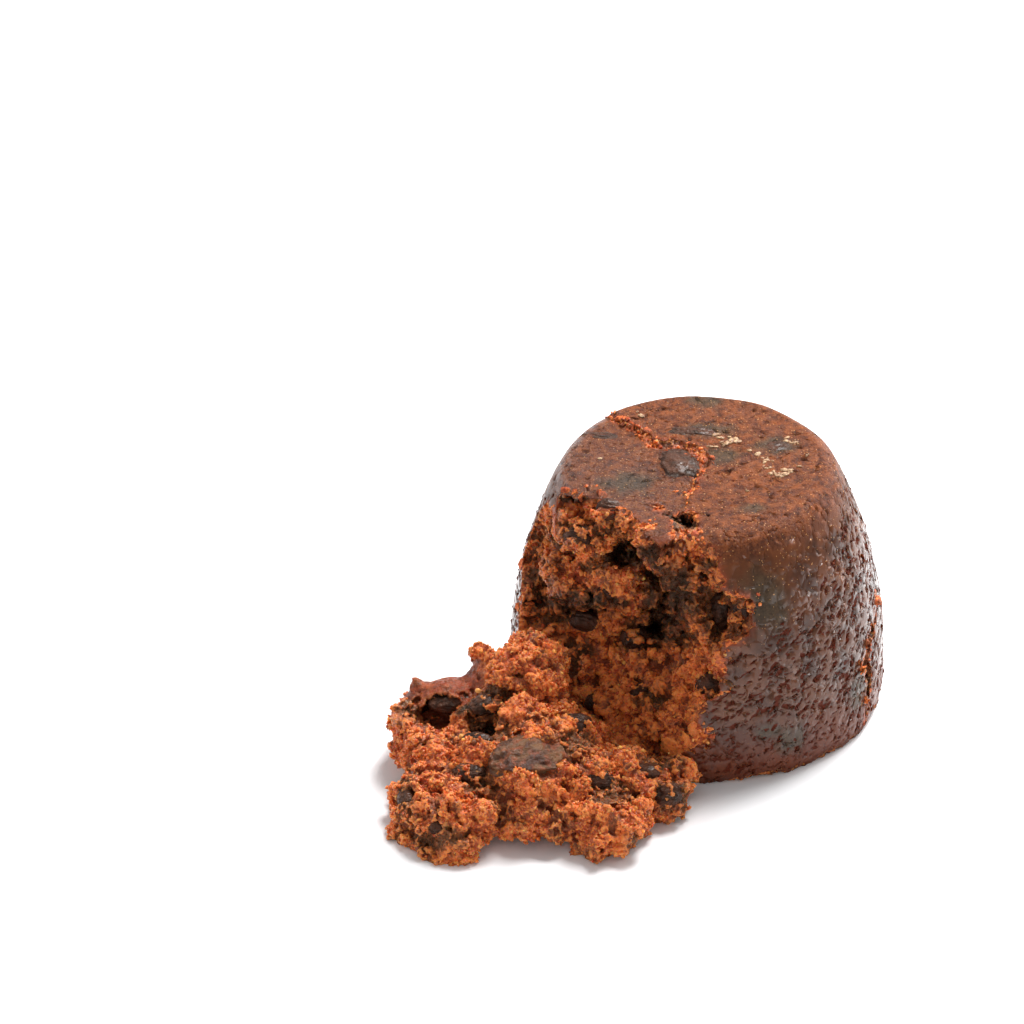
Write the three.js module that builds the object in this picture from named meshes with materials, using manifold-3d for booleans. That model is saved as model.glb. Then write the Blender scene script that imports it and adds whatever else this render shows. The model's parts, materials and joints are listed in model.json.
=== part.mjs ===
// A small steamed Christmas pudding, turned out of its basin and torn open.
//
// The pudding stands on its wide end as a truncated dome: a flat top with a
// rounded rim, and sides that bow out towards the plate end. A hollow has been
// torn out of its front left side, and the chunk that came out of it lies in
// front, leaning on the lip of the hollow. Both are dense crumb full of
// dried fruit, so every torn face is a landscape of clumps and raisins.
//
// Millimetres, +Z up. The origin is the middle of the round base, on the
// table. -Y is the torn side, +X is to the right of a viewer who faces it.

import * as THREE from 'three';
import { mergeVertices } from 'three/addons/utils/BufferGeometryUtils.js';
import { ImprovedNoise } from 'three/addons/math/ImprovedNoise.js';
import Module from 'manifold-3d';

const wasm = await Module();
wasm.setup();

// ---------------------------------------------------------------- dimensions

const BASE_RADIUS = 31; // widest ring of the wall, just above the table
const TOP_RADIUS = 21.6; // wall radius at the top edge
const HEIGHT = 42.2; // table to the middle of the flat top
const WALL_BOW = 2.42; // power of the wall's curve: 1 is a straight cone
const BASE_TUCK = 0.8; // how far the wall draws in again at the table
const BASE_TUCK_HEIGHT = 4;
const RIM_ROUND = 1.5; // radius of the rounded top edge
const TOP_TILT = 0.032; // rise of the top per mm towards the back
const CRUST_SINK = 0.07; // drop of the top per mm left of its crack
const SKIN_WAVE = 0.35; // slow unevenness of the skin
const SKIN_WAVE_SIZE = 13;

const ROUND_STEPS = 48; // facets round the body
const SIDE_STEP = 4.5; // height of a band of facets
const TOP_RINGS = 3;
const BASE_RING = 17; // radius of the ring of corners on the flat base

const CLUMP_SIZE = 4.6; // spacing of the crumb's clumps
const CLUMP_DEPTH = 1.9; // height of a clump over the creases between them
const CRUMB_SIZE = 2.1; // spacing of the smaller lumps on a clump
const CRUMB_SHARE = 0.4; // their height as a share of the clump's
const TEAR_SWELL = 2.2; // slow unevenness of a torn face
const TEAR_SWELL_SIZE = 8;
const LUMP_RADII = [ 1.4, 2.5 ]; // round lumps of crumb stuck on a torn face
const PUDDING_LUMPS = 16;
const CHUNK_LUMPS = 14;
const WRINKLE = 0.3; // depth of the wrinkles of a dried fruit
const RAGGED = 0.45; // unevenness of a cleft's wall

const TORN_FACET = 2.05; // edge of a facet on a torn face
const CLEFT_FACET = 2.4;
const LUMP_FACET = 1.9;
const FRUIT_FACET = 1.5;

const GAP = 0.35; // air left between the chunk and the body
const TABLE_SIZE = 120; // block that trims the chunk level with the table

// ------------------------------------------------------------------- helpers

const perlin = new ImprovedNoise();
const vector = ( [ x, y, z ] ) => new THREE.Vector3( x, y, z );

function noiseAt( point, size, shift = 0 ) {

	return perlin.noise( point.x / size + shift, point.y / size + shift * 1.7, point.z / size - shift * 0.6 );

}

// Rounded clumps with sharp creases between them: 0 in a crease, about 0.45 on
// the whole and 1 on a high clump.
function clumpHeight( point ) {

	const clump = Math.abs( noiseAt( point, CLUMP_SIZE, 11.3 ) );
	const crumb = Math.abs( noiseAt( point, CRUMB_SIZE, 4.1 ) );
	return 1.7 * ( clump + CRUMB_SHARE * crumb );

}

// A closed geometry becomes a solid once its shared vertices are merged.
function toSolid( geometry ) {

	const bare = geometry.clone();
	bare.deleteAttribute( 'normal' );
	bare.deleteAttribute( 'uv' );
	const merged = mergeVertices( bare, 1e-4 );
	const corners = merged.index.array;
	const kept = [];
	for ( let i = 0; i < corners.length; i += 3 ) {

		const [ a, b, c ] = [ corners[ i ], corners[ i + 1 ], corners[ i + 2 ] ];
		if ( a !== b && b !== c && c !== a ) kept.push( a, b, c );

	}

	return new wasm.Manifold( new wasm.Mesh( {
		numProp: 3,
		vertProperties: new Float32Array( merged.attributes.position.array ),
		triVerts: new Uint32Array( kept ),
	} ) );

}

function toGeometry( solid ) {

	const mesh = solid.getMesh();
	const geometry = new THREE.BufferGeometry();
	geometry.setAttribute( 'position', new THREE.BufferAttribute( new Float32Array( mesh.vertProperties ), 3 ) );
	geometry.setIndex( new THREE.BufferAttribute( new Uint32Array( mesh.triVerts ), 1 ) );
	geometry.computeVertexNormals();
	return geometry;

}

const joinAll = ( solids ) => solids.reduce( ( whole, solid ) => whole.add( solid ) );

// The largest connected body of a solid: crumbs that a cut has freed fall off.
function largestBody( solid ) {

	return solid.decompose().reduce( ( best, body ) => ( body.volume() > best.volume() ? body : best ) );

}

// --------------------------------------------------------------- uneven blobs

// A blob is an ellipsoid { at, size, turn, lean }: its centre, half sizes,
// turn about Z and lean about its own X, in degrees. Its skin is moved in or
// out along the normal by relief( point ).
function blobFrame( { turn = 0, lean = 0 } ) {

	const angle = THREE.MathUtils.degToRad;
	return new THREE.Matrix4().makeRotationZ( angle( turn ) )
		.multiply( new THREE.Matrix4().makeRotationX( angle( lean ) ) );

}

function blobPoint( blob, direction ) {

	return direction.clone().multiply( vector( blob.size ) ).applyMatrix4( blobFrame( blob ) ).add( vector( blob.at ) );

}

function isInside( blob, point, margin = 0 ) {

	const local = point.clone().sub( vector( blob.at ) ).applyMatrix4( blobFrame( blob ).invert() );
	const [ a, b, c ] = blob.size.map( ( half ) => half + margin );
	return ( local.x / a ) ** 2 + ( local.y / b ) ** 2 + ( local.z / c ) ** 2 < 1;

}

function blobGeometry( blob, facet, relief ) {

	const [ a, b, c ] = blob.size;
	const area = 4 * Math.PI * ( ( ( a * b ) ** 1.6 + ( b * c ) ** 1.6 + ( a * c ) ** 1.6 ) / 3 ) ** ( 1 / 1.6 );
	const facetArea = 0.433 * facet * facet;
	const detail = Math.max( 1, Math.round( Math.sqrt( area / ( 20 * facetArea ) ) - 1 ) );
	const geometry = new THREE.IcosahedronGeometry( 1, detail );
	const frame = blobFrame( blob );
	const corner = new THREE.Vector3();
	for ( let i = 0; i < geometry.attributes.position.count; i ++ ) {

		corner.fromBufferAttribute( geometry.attributes.position, i ).normalize();
		const normal = corner.clone().divide( vector( blob.size ) ).normalize().applyMatrix4( frame );
		const point = blobPoint( blob, corner );
		point.addScaledVector( normal, relief( point ) );
		geometry.attributes.position.setXYZ( i, point.x, point.y, point.z );

	}

	return geometry;

}

// Crumb that stands out of a blob, and crumb that stands into a hollow one.
const crumbOut = ( point ) => CLUMP_DEPTH * ( clumpHeight( point ) - 0.45 )
	+ TEAR_SWELL * noiseAt( point, TEAR_SWELL_SIZE, 6.7 );
const crumbIn = ( point ) => - crumbOut( point );
const wrinkle = ( point ) => WRINKLE * ( noiseAt( point, 1.5, 2.2 ) + 0.7 * noiseAt( point, 3, 8.5 ) );
const ragged = ( point ) => RAGGED * noiseAt( point, 2.1, 5.9 );

const crumbBlob = ( blob ) => toSolid( blobGeometry( blob, TORN_FACET, crumbOut ) );
const crumbHollow = ( blob ) => toSolid( blobGeometry( blob, TORN_FACET, crumbIn ) );
const cleft = ( blob ) => toSolid( blobGeometry( blob, CLEFT_FACET, ragged ) );
const lump = ( blob ) => toSolid( blobGeometry( blob, LUMP_FACET, ragged ) );
const fruit = ( blob ) => toSolid( blobGeometry( blob, FRUIT_FACET, wrinkle ) );

// Seeded points spread over the outside of a group of blobs.
function surfacePoints( blobs, count, seed, accept ) {

	THREE.MathUtils.seededRandom( seed );
	const draw = () => THREE.MathUtils.seededRandom();
	const points = [];
	for ( let tries = 0; points.length < count && tries < count * 80; tries ++ ) {

		const blob = blobs[ Math.floor( draw() * blobs.length ) ];
		const height = draw() * 2 - 1;
		const round = draw() * 2 * Math.PI;
		const girth = Math.sqrt( 1 - height * height );
		const direction = new THREE.Vector3( girth * Math.cos( round ), girth * Math.sin( round ), height );
		const point = blobPoint( blob, direction );
		const buried = blobs.some( ( other ) => other !== blob && isInside( other, point ) );
		const crowded = points.some( ( other ) => other.distanceTo( point ) < CLUMP_SIZE * 0.9 );
		if ( ! buried && ! crowded && accept( point ) ) points.push( point );

	}

	return points;

}

// Round lumps of crumb stuck on at those points, most of them small.
function lumpsAt( points, seed ) {

	THREE.MathUtils.seededRandom( seed );
	const draw = () => THREE.MathUtils.seededRandom();
	return points.map( ( point ) => {

		const radius = THREE.MathUtils.lerp( ...LUMP_RADII, draw() ** 1.6 );
		const size = [ 0.9 + 0.5 * draw(), 0.8 + 0.3 * draw(), 0.7 + 0.35 * draw() ].map( ( share ) => radius * share );
		return lump( { at: point.toArray(), size, turn: 360 * draw(), lean: 60 * draw() - 30 } );

	} );

}

// A crack: a thin ragged blade that follows a flat route of [ across, up ]
// points, widest in the middle and closed at its ends. It is depth thick.
function crackBlade( route, width, depth ) {

	const line = route.map( ( [ across, up ] ) => new THREE.Vector2( across, up ) );
	const sides = [ [], [] ];
	line.forEach( ( point, i ) => {

		const along = line[ Math.min( i + 1, line.length - 1 ) ].clone().sub( line[ Math.max( i - 1, 0 ) ] ).normalize();
		const taper = Math.sin( Math.PI * ( i + 0.5 ) / line.length );
		sides.forEach( ( side, k ) => {

			const uneven = 1 + 0.7 * perlin.noise( i * 0.73, k * 5.1, 0.4 );
			const reach = ( k === 0 ? 0.5 : - 0.5 ) * width * taper * uneven;
			side.push( new THREE.Vector2( point.x - along.y * reach, point.y + along.x * reach ) );

		} );

	} );
	const outline = new THREE.Shape( [ ...sides[ 0 ], ...sides[ 1 ].reverse() ] );
	return new THREE.ExtrudeGeometry( outline, { depth, bevelEnabled: false } ).translate( 0, 0, - depth / 2 );

}

// ---------------------------------------------------------------- whole body

function wallRadius( z ) {

	const up = THREE.MathUtils.clamp( z / HEIGHT, 0, 1 );
	const tuck = Math.max( 0, 1 - z / BASE_TUCK_HEIGHT );
	return BASE_RADIUS - ( BASE_RADIUS - TOP_RADIUS ) * up ** WALL_BOW - BASE_TUCK * tuck * tuck;

}

// The crack across the top, from its back left rim to the torn edge: [ x, y ].
const TOP_CRACK = [
	[ - 14.8, 18 ], [ - 13.4, 14.4 ], [ - 12, 11.6 ], [ - 9.6, 10.5 ], [ - 7.9, 6.9 ], [ - 4.6, 5.6 ],
	[ - 0.9, 4.2 ], [ 0.4, 1 ], [ 0.2, - 2 ], [ - 1.2, - 5.8 ], [ - 1.6, - 8.6 ], [ - 2.4, - 11.4 ],
];
const TOP_CRACK_WIDTH = 1.7;
const TOP_CRACK_DEPTH = 2.4;

function sink( x, y ) {

	const [ start, end ] = [ TOP_CRACK[ 0 ], TOP_CRACK[ TOP_CRACK.length - 1 ] ];
	const along = new THREE.Vector2( end[ 0 ] - start[ 0 ], end[ 1 ] - start[ 1 ] ).normalize();
	const leftOf = along.x * ( y - start[ 1 ] ) - along.y * ( x - start[ 0 ] );
	return CRUST_SINK * Math.max( 0, - leftOf );

}

function wholeBody( grow = 0 ) {

	const profile = [ new THREE.Vector2( 0, - grow ), new THREE.Vector2( BASE_RING, - grow ) ];
	const sideTop = HEIGHT - RIM_ROUND;
	const bands = Math.round( sideTop / SIDE_STEP );
	for ( let i = 0; i <= bands; i ++ ) {

		const z = sideTop * i / bands;
		profile.push( new THREE.Vector2( wallRadius( z ) + grow, i === 0 ? - grow : z ) );

	}

	const rimCentre = wallRadius( sideTop ) - RIM_ROUND;
	for ( const degrees of [ 35, 65, 90 ] ) {

		const angle = THREE.MathUtils.degToRad( degrees );
		const reach = RIM_ROUND + grow;
		profile.push( new THREE.Vector2( rimCentre + reach * Math.cos( angle ), sideTop + reach * Math.sin( angle ) ) );

	}

	for ( let ring = TOP_RINGS - 1; ring >= 0; ring -- ) {

		profile.push( new THREE.Vector2( rimCentre * ring / TOP_RINGS, HEIGHT + grow ) );

	}

	const geometry = new THREE.LatheGeometry( profile, ROUND_STEPS ).rotateX( Math.PI / 2 );
	const corner = new THREE.Vector3();
	for ( let i = 0; i < geometry.attributes.position.count; i ++ ) {

		corner.fromBufferAttribute( geometry.attributes.position, i );
		const up = THREE.MathUtils.clamp( corner.z / HEIGHT, 0, 1 );
		const onTop = up ** 6;
		const wave = SKIN_WAVE * noiseAt( corner, SKIN_WAVE_SIZE, 3.3 ) * Math.min( 1, corner.z / 3 );
		const reach = Math.hypot( corner.x, corner.y );
		const scale = reach > 1 ? 1 + wave * ( 1 - onTop ) / reach : 1;
		const lift = TOP_TILT * corner.y - sink( corner.x, corner.y ) + 1.6 * wave;
		geometry.attributes.position.setXYZ( i, corner.x * scale, corner.y * scale, corner.z + lift * onTop );

	}

	return toSolid( geometry );

}

// --------------------------------------------------------------- torn hollow

// The scoops that were torn out of the front left side, from the top down.
const SCOOPS = [
	{ at: [ - 17.8, - 25.6, 38 ], size: [ 25, 14, 12 ], turn: - 34 },
	{ at: [ - 29.5, - 6, 30 ], size: [ 7, 10, 10.5 ] },
	{ at: [ - 20.6, - 24.6, 22.5 ], size: [ 26, 17.5, 18.5 ], turn: - 28.5 },
	{ at: [ 3, - 24, 28 ], size: [ 5.8, 5.5, 6 ], turn: - 30 },
	{ at: [ - 1.2, - 22.5, 34.5 ], size: [ 5.2, 5, 6.5 ], turn: - 20 },
	{ at: [ - 7.5, - 31.5, 9.5 ], size: [ 9, 6, 6.5 ] },
	{ at: [ - 6.5, - 12.5, 25.5 ], size: [ 5, 10, 8.5 ], turn: - 8, lean: 30 },
	{ at: [ - 5.4, - 16, 42.9 ], size: [ 4.8, 6, 3.4 ], turn: - 10 },
	{ at: [ - 3.6, - 17.6, 39.5 ], size: [ 2.6, 2.6, 4.5 ] },
];

// Narrow clefts that run on under the crust and between the clumps.
const CLEFTS = [
	{ at: [ - 20, - 7.5, 38.6 ], size: [ 4, 4, 1.8 ], turn: - 30 },
	{ at: [ - 13, - 16, 34 ], size: [ 5, 5, 1.6 ], turn: - 20 },
	{ at: [ - 20, - 7, 21.5 ], size: [ 9, 7, 2 ], turn: - 30 },
	{ at: [ - 7.5, - 26.5, 4.8 ], size: [ 4, 4, 2 ], turn: - 10 },
];

// Crumb that still hangs into the hollow: the shelf across it, and the bridge
// and the standing lump where the top is torn.
const LEDGES = [
	{ at: [ - 23, - 7.5, 26.4 ], size: [ 5.5, 6, 2.2 ], turn: - 30 },
	{ at: [ - 17, - 9.5, 25.8 ], size: [ 5.5, 5.6, 2.6 ], turn: - 25 },
	{ at: [ - 12.2, - 10, 26.6 ], size: [ 4, 4.6, 2.8 ], turn: - 10 },
	{ at: [ - 6.4, - 19.2, 39 ], size: [ 3.2, 2.2, 2.2 ], turn: - 20 },
	{ at: [ - 4.6, - 12.4, 41.2 ], size: [ 2.2, 1.8, 1.7 ], turn: 20 },
];

// The crack up the right of the wall, from the table: [ along the wall, z ].
const WALL_CRACK = [
	[ - 0.6, - 0.5 ], [ - 0.9, 5 ], [ 0.3, 9.3 ], [ - 1.1, 13.6 ], [ 0.6, 15.6 ], [ 4.6, 17.2 ], [ 7.6, 19 ],
];
const WALL_CRACK_HEADING = - 26; // degrees from +X, seen from above
const WALL_CRACK_WIDTH = 1.8;
const WALL_CRACK_DEPTH = 7; // half of it stands clear of the wall
const BASE_CHIP = { at: [ 29.6, - 10.2, 0 ], size: [ 2.6, 3.2, 1.8 ], turn: - 20 };

// Dried fruit that shows on the pudding, half sunk in the crumb or the crust.
const PUDDING_FRUIT = [
	{ at: [ - 3.9, - 0.8, 41.7 ], size: [ 3.4, 3.1, 1.1 ], turn: 20 },
	{ at: [ 12.8, 5, 41.8 ], size: [ 2.5, 2.2, 0.9 ] },
	{ at: [ - 1.2, 9.6, 42 ], size: [ 5.5, 1.9, 0.8 ], turn: - 8 },
	{ at: [ - 15.2, 8.8, 41.7 ], size: [ 3.6, 1.9, 0.9 ], turn: - 10 },
	{ at: [ - 14.8, - 11, 40 ], size: [ 2, 1.8, 1.5 ] },
	{ at: [ - 19.5, - 10.5, 34.8 ], size: [ 2.4, 1.8, 1.6 ] },
	{ at: [ - 10.5, - 11, 15.8 ], size: [ 2, 1.9, 1.9 ] },
	{ at: [ 3.4, - 18.8, 25.5 ], size: [ 2.2, 2, 3 ] },
	{ at: [ 6.6, - 22, 27.4 ], size: [ 2, 1.8, 3.2 ] },
	{ at: [ 1.4, - 25.9, 16 ], size: [ 2.2, 2, 1.8 ] },
];

function pudding() {

	const whole = wholeBody();
	const wellInside = ( point ) => Math.hypot( point.x, point.y ) < wallRadius( point.z ) - LUMP_RADII[ 0 ]
		&& point.z > LUMP_RADII[ 1 ] && point.z < HEIGHT - LUMP_RADII[ 1 ];
	const lumps = lumpsAt( surfacePoints( SCOOPS, PUDDING_LUMPS, 7, wellInside ), 19 );
	let body = whole.subtract( joinAll( SCOOPS.map( crumbHollow ) ) ).add( joinAll( LEDGES.map( crumbBlob ) ) );
	body = body.add( joinAll( lumps ) ).subtract( joinAll( CLEFTS.map( cleft ) ) );
	// Nothing of the torn face stands out past the skin, apart from the fruit.
	body = body.intersect( whole ).add( joinAll( PUDDING_FRUIT.map( fruit ) ) );
	const topCrack = crackBlade( TOP_CRACK, TOP_CRACK_WIDTH, TOP_CRACK_DEPTH * 2 ).translate( 0, 0, HEIGHT );
	const wallCrack = crackBlade( WALL_CRACK, WALL_CRACK_WIDTH, WALL_CRACK_DEPTH )
		.rotateX( Math.PI / 2 ).rotateZ( Math.PI / 2 ).translate( BASE_RADIUS, 0, 0 )
		.rotateZ( THREE.MathUtils.degToRad( WALL_CRACK_HEADING ) );
	const breaks = [ toSolid( topCrack ), toSolid( wallCrack ), cleft( BASE_CHIP ) ];
	return largestBody( body.subtract( joinAll( breaks ) ) );

}

// -------------------------------------------------------------- broken chunk

// The chunk's lobes: its ridge leans on the lip of the hollow, and it thins
// out towards the viewer and to both sides.
const LOBES = [
	{ at: [ - 28, - 21, 9 ], size: [ 7.6, 7, 10.8 ], turn: 40 },
	{ at: [ - 32.5, - 19, 7 ], size: [ 6.5, 6.5, 9.6 ] },
	{ at: [ - 28.5, - 31, 4.5 ], size: [ 14, 13, 10 ] },
	{ at: [ - 38.8, - 37.5, 2.5 ], size: [ 9.6, 12, 6.8 ] },
	{ at: [ - 39.6, - 45, 1.5 ], size: [ 8, 8, 6.4 ], turn: 30 },
	{ at: [ - 27, - 40, 4.5 ], size: [ 13, 8.5, 5.8 ] },
	{ at: [ - 15.8, - 43.5, 2.8 ], size: [ 6.5, 8, 5.4 ] },
	{ at: [ - 14, - 35.5, 3.4 ], size: [ 11, 7.5, 5.6 ] },
	{ at: [ - 6.8, - 38, 3.4 ], size: [ 4.6, 4, 2.8 ] },
	{ at: [ - 43, - 21.5, 7 ], size: [ 7, 5.5, 5.6 ], turn: 20 },
	{ at: [ - 39.5, - 28.5, 3.5 ], size: [ 8, 5, 4.5 ] },
];

// The hollow under its curled skin, and where its edge arches off the table.
const CHUNK_HOLLOWS = [
	{ at: [ - 42.5, - 25, 8.6 ], size: [ 6, 5.5, 2.2 ], turn: 10 },
	{ at: [ - 34.5, - 31.5, 11.6 ], size: [ 4.2, 2.8, 2.8 ], turn: - 10 },
	{ at: [ - 29, - 50, 0 ], size: [ 8, 6, 3.4 ] },
	{ at: [ - 49, - 18, 0 ], size: [ 6, 8, 3 ] },
];

// Dried fruit that shows on the chunk.
const CHUNK_FRUIT = [
	{ at: [ - 27.3, - 42, 9.9 ], size: [ 5.4, 4.8, 2.4 ], turn: 15 },
	{ at: [ - 20.4, - 31.6, 12.2 ], size: [ 2.5, 1.8, 1.4 ] },
	{ at: [ - 5.8, - 41, 5 ], size: [ 2.1, 1.9, 1.8 ] },
	{ at: [ - 16.8, - 42.5, 8.8 ], size: [ 2.2, 1.8, 1.4 ] },
	{ at: [ - 9.3, - 38.4, 7.2 ], size: [ 2.4, 1.8, 1.4 ] },
	{ at: [ - 37.2, - 40.6, 9 ], size: [ 2.5, 1.9, 1.3 ] },
];

function brokenPiece() {

	const clear = ( point ) => point.z > LUMP_RADII[ 0 ]
		&& Math.hypot( point.x, point.y ) > wallRadius( point.z ) + LUMP_RADII[ 0 ];
	const lumps = lumpsAt( surfacePoints( LOBES, CHUNK_LUMPS, 31, clear ), 43 );
	let body = joinAll( LOBES.map( crumbBlob ) ).add( joinAll( lumps ) );
	body = body.subtract( joinAll( CHUNK_HOLLOWS.map( cleft ) ) ).add( joinAll( CHUNK_FRUIT.map( fruit ) ) );
	const table = new THREE.BoxGeometry( TABLE_SIZE, TABLE_SIZE, TABLE_SIZE ).translate( 0, 0, - TABLE_SIZE / 2 );
	return largestBody( body.subtract( toSolid( table ) ).subtract( wholeBody( GAP ) ) );

}

// ----------------------------------------------------------------- the scene

const crustMaterial = new THREE.MeshStandardMaterial( { color: 0x5a2a18, roughness: 0.5, metalness: 0 } );
const crumbMaterial = new THREE.MeshStandardMaterial( { color: 0x8a3d18, roughness: 0.75, metalness: 0 } );

function piece( name, solid, material ) {

	const mesh = new THREE.Mesh( toGeometry( solid ), material );
	mesh.name = name;
	return mesh;

}

const christmasPudding = new THREE.Group();
christmasPudding.add( piece( 'pudding', pudding(), crustMaterial ) );
christmasPudding.add( piece( 'broken_piece', brokenPiece(), crumbMaterial ) );

export default christmasPudding;
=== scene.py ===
# %% [markdown]
# # A small Christmas pudding, torn open
#
# A steamed pudding is dense crumb full of dried fruit, under a thin shiny
# crust that shows every bubble of the basin it was cooked in. This lesson
# dresses a plain faceted model of one: crust with its pits, torn crumb,
# raisins and flecks of peel, one piece at a time.
#
# The plain model is loaded first. It fixes the size and the place of
# everything.

# %% Load the plain model
import json
import math

import bmesh
import bpy
import numpy as np
from mathutils import Matrix, Vector
from mathutils import noise as field

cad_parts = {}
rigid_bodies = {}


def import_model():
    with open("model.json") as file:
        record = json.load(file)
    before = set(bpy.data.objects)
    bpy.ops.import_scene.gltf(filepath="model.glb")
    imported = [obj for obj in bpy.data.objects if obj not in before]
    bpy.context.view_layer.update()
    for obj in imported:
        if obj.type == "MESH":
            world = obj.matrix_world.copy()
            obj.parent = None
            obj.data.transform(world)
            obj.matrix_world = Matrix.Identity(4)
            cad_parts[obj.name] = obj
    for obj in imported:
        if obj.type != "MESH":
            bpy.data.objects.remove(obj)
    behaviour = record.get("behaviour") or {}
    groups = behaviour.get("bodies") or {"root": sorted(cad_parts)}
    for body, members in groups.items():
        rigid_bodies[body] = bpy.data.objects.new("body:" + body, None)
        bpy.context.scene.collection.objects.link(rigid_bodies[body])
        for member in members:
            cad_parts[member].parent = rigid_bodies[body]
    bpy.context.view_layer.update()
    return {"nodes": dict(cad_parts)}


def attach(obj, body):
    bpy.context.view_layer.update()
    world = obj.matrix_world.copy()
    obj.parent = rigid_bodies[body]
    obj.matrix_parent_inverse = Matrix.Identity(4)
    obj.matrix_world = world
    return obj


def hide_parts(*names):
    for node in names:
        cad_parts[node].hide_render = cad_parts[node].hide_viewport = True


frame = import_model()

MM = 0.001  # the model is in metres, and this lesson thinks in millimetres

# %% [markdown]
# ## Camera, floor and light
#
# A long lens from about 31 degrees above the table keeps the pudding's sides
# nearly parallel, as in food pictures. The floor is one white sheet. The light
# is soft: a panel high up behind on the right that throws the short shadows, a
# low one behind that glances off the crust, a weak one on the left, a small one
# behind that makes wet grains sparkle, a wide dim one in front that opens the
# dark hollow, and white surroundings.

# %% Camera
FRAME_WIDTH = 36.0
PIXELS = 1024
FOCAL_PIXELS = 6030  # how long the lens is, in widths of a pixel

lens = bpy.data.cameras.new("camera")
lens.sensor_width = FRAME_WIDTH
lens.lens = FRAME_WIDTH * FOCAL_PIXELS / PIXELS
lens.clip_start = 0.01
camera = bpy.data.objects.new("camera", lens)
camera.location = (-0.03051, -0.83990, 0.54347)
camera.rotation_euler = (math.radians(58.7), 0, 0)
bpy.context.scene.collection.objects.link(camera)
bpy.context.scene.camera = camera
print("lens:", round(lens.lens, 1), "mm")

# %% Floor and light
FLOOR_SIZE = 6.0
ROOM_LIGHT = 0.42


def show(name, mesh, *materials):
    """Put a mesh into the scene under a name."""
    made = bpy.data.objects.new(name, mesh)
    mesh.materials.clear()
    for material in materials:
        mesh.materials.append(material)
    bpy.context.scene.collection.objects.link(made)
    return made


sheet = bmesh.new()
bmesh.ops.create_grid(sheet, x_segments=1, y_segments=1, size=FLOOR_SIZE / 2)
floor_mesh = bpy.data.meshes.new("floor")
sheet.to_mesh(floor_mesh)
sheet.free()
floor_white = bpy.data.materials.new("floor_white")
floor_white.use_nodes = True
paper = floor_white.node_tree.nodes["Principled BSDF"]
paper.inputs["Base Color"].default_value = (0.9, 0.9, 0.91, 1)
paper.inputs["Roughness"].default_value = 0.6
paper.inputs["Specular IOR Level"].default_value = 0.2
show("floor", floor_mesh, floor_white)


def panel(name, place, size, watts, aim=(-0.005, -0.01, 0.02)):
    """A square soft light at a place, aimed at a point."""
    light = bpy.data.lights.new(name, "AREA")
    light.size = size
    light.energy = watts
    holder = bpy.data.objects.new(name, light)
    holder.location = place
    holder.rotation_euler = (Vector(aim) - Vector(place)).to_track_quat("-Z", "Y").to_euler()
    bpy.context.scene.collection.objects.link(holder)


panel("high_panel", (0.15, 0.26, 0.60), 0.26, 6.3)
panel("low_back_panel", (0.50, 0.45, 0.28), 0.35, 2.6)
panel("left_panel", (-0.60, 0.10, 0.22), 0.25, 0.7)
panel("spark_panel", (0.28, 0.50, 0.52), 0.06, 2.4)
panel("front_panel", (-0.12, -0.55, 0.22), 0.60, 0.5)
surroundings = bpy.data.worlds.new("white_room")
surroundings.use_nodes = True
room = surroundings.node_tree.nodes["Background"]
room.inputs["Color"].default_value = (1, 1, 1, 1)
room.inputs["Strength"].default_value = ROOM_LIGHT
bpy.context.scene.world = surroundings
bpy.context.scene.view_settings.view_transform = "Standard"

# %% [markdown]
# ## The form of the whole pudding
#
# The crust needs to know where the pudding's skin was before it was torn. The
# sides bow out from the top edge to the table, and the top is a little tilted
# and sinks on the left of its crack. `outside` measures how far a point is
# out of that form: negative inside, zero on the skin. It is the one test that
# tells crust from torn crumb everywhere below.

# %% Measures of the form
BASE_RADIUS, TOP_RADIUS, HEIGHT = 31.0, 21.6, 42.2
WALL_BOW = 2.42  # 1 would be a straight cone; more holds the side wide for longer
BASE_TUCK, BASE_TUCK_HEIGHT = 0.8, 4.0  # the side draws in a little at the table
RIM_ROUND = 1.9  # radius of the top edge
TOP_TILT, CRUST_SINK = 0.032, 0.07  # rise towards the back, and drop left of the crack, per mm
WALL_WAVE, TOP_WAVE = 0.16, 0.12  # how uneven the skin is
TOP_CRACK = np.array([  # from the back left rim to the torn edge: x, y
    (-14.8, 18.0), (-13.4, 14.4), (-12.0, 11.6), (-9.6, 10.5), (-7.9, 6.9), (-4.6, 5.6),
    (-0.9, 4.2), (0.4, 1.0), (0.2, -2.0), (-1.2, -5.8), (-1.6, -8.6), (-2.4, -11.4),
])
CRACK_STEP, CRACK_STEP_REACH = 0.7, 5.0  # drop of the crust just left of the crack
LIP, LIP_HEIGHT = 0.55, 1.3  # thin edge that flares out on the table
DOWN, AHEAD = 0.52, 0.854  # slope of the look from in front: how far down, how far ahead
SOFT_EDGE = 0.35  # how softly a patch fades out, as a share of its size


def smoothstep(low, high, values):
    """Ramp from 0 at low to 1 at high, whichever of the two is larger."""
    t = np.clip((values - low) / (high - low), 0, 1)
    return t * t * (3 - 2 * t)


def wall_radius(z):
    up = np.clip(z / HEIGHT, 0, 1)
    tuck = np.maximum(0, 1 - z / BASE_TUCK_HEIGHT)
    return BASE_RADIUS - (BASE_RADIUS - TOP_RADIUS) * up ** WALL_BOW - BASE_TUCK * tuck ** 2


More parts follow.
